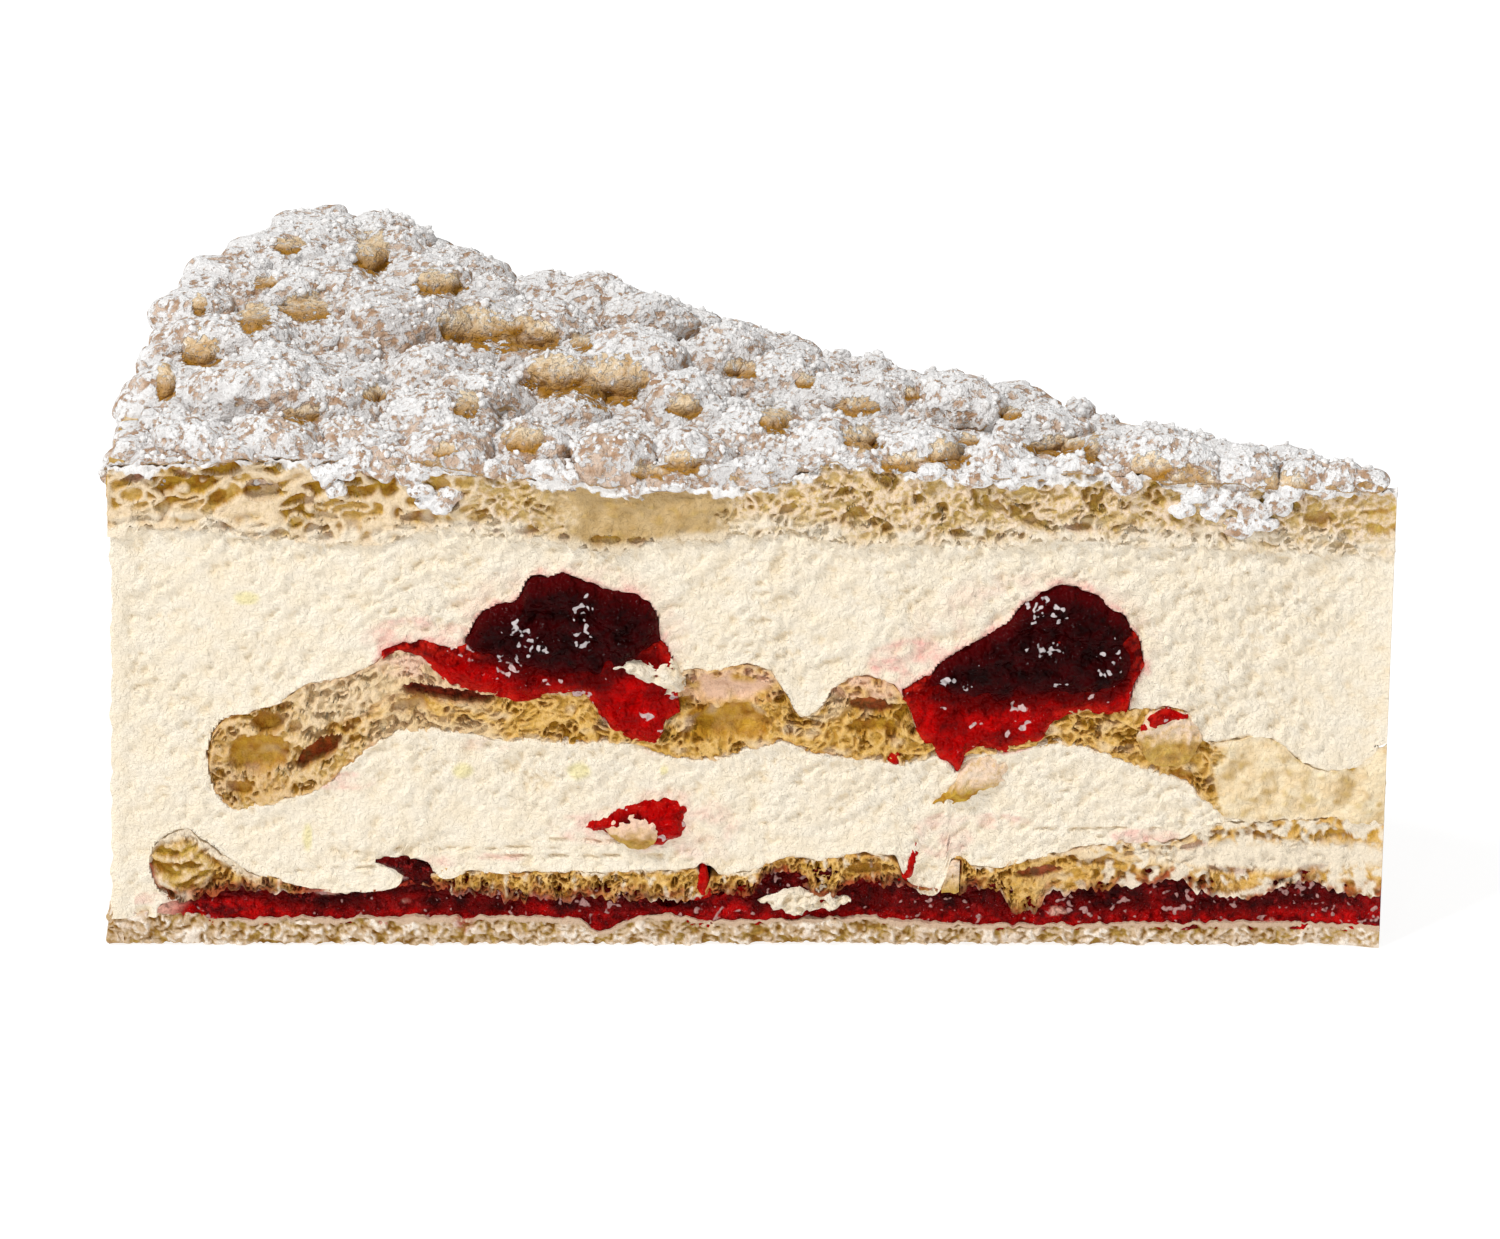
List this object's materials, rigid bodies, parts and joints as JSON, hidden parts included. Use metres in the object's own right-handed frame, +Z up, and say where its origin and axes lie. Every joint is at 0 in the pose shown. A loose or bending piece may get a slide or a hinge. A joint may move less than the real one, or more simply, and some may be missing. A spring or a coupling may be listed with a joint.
{
  "type": "flaky cream torte slice",
  "caption": "Wedge of layered torte: shortcrust base, red jam, puffed choux sheets, whipped cream with cherry jelly and dark cherries, and sugared streusel on top.",
  "frame": {"origin": "on the table, under the centre of the slice's bounding box", "axes": "+Z up. The slice's length from the torte's rim to the tip lies along X with the tip at +X, and the near cut is a flat vertical face towards -Y."},
  "size_m": [0.139, 0.07, 0.0635],
  "materials": {
    "shortcrust": "pale baked shortcrust, dry and crumbly at the cut",
    "jam": "wet deep red jam",
    "jelly": "wet bright red set cherry jelly",
    "cherry": "wet, nearly black cooked cherry",
    "cream": "ivory whipped cream, fine grained where the knife went through",
    "choux": "golden beige choux, hollow and flaky at the cut",
    "streusel": "golden crumbs under white icing sugar"
  },
  "bodies": {
    "root": {"shortcrust_base": "shortcrust", "jam_layer": "jam", "cream_blob": "cream", "choux_lower": "choux", "choux_middle": "choux", "jelly_ring_outer": "jelly", "jelly_ring_inner": "jelly", "cherry_outer_near": "cherry", "cherry_outer_far": "cherry", "cherry_inner_near": "cherry", "cherry_inner_far": "cherry", "jelly_pocket": "jelly", "cream_filling": "cream", "choux_top": "choux", "streusel_topping": "streusel"}
  },
  "joints": []
}
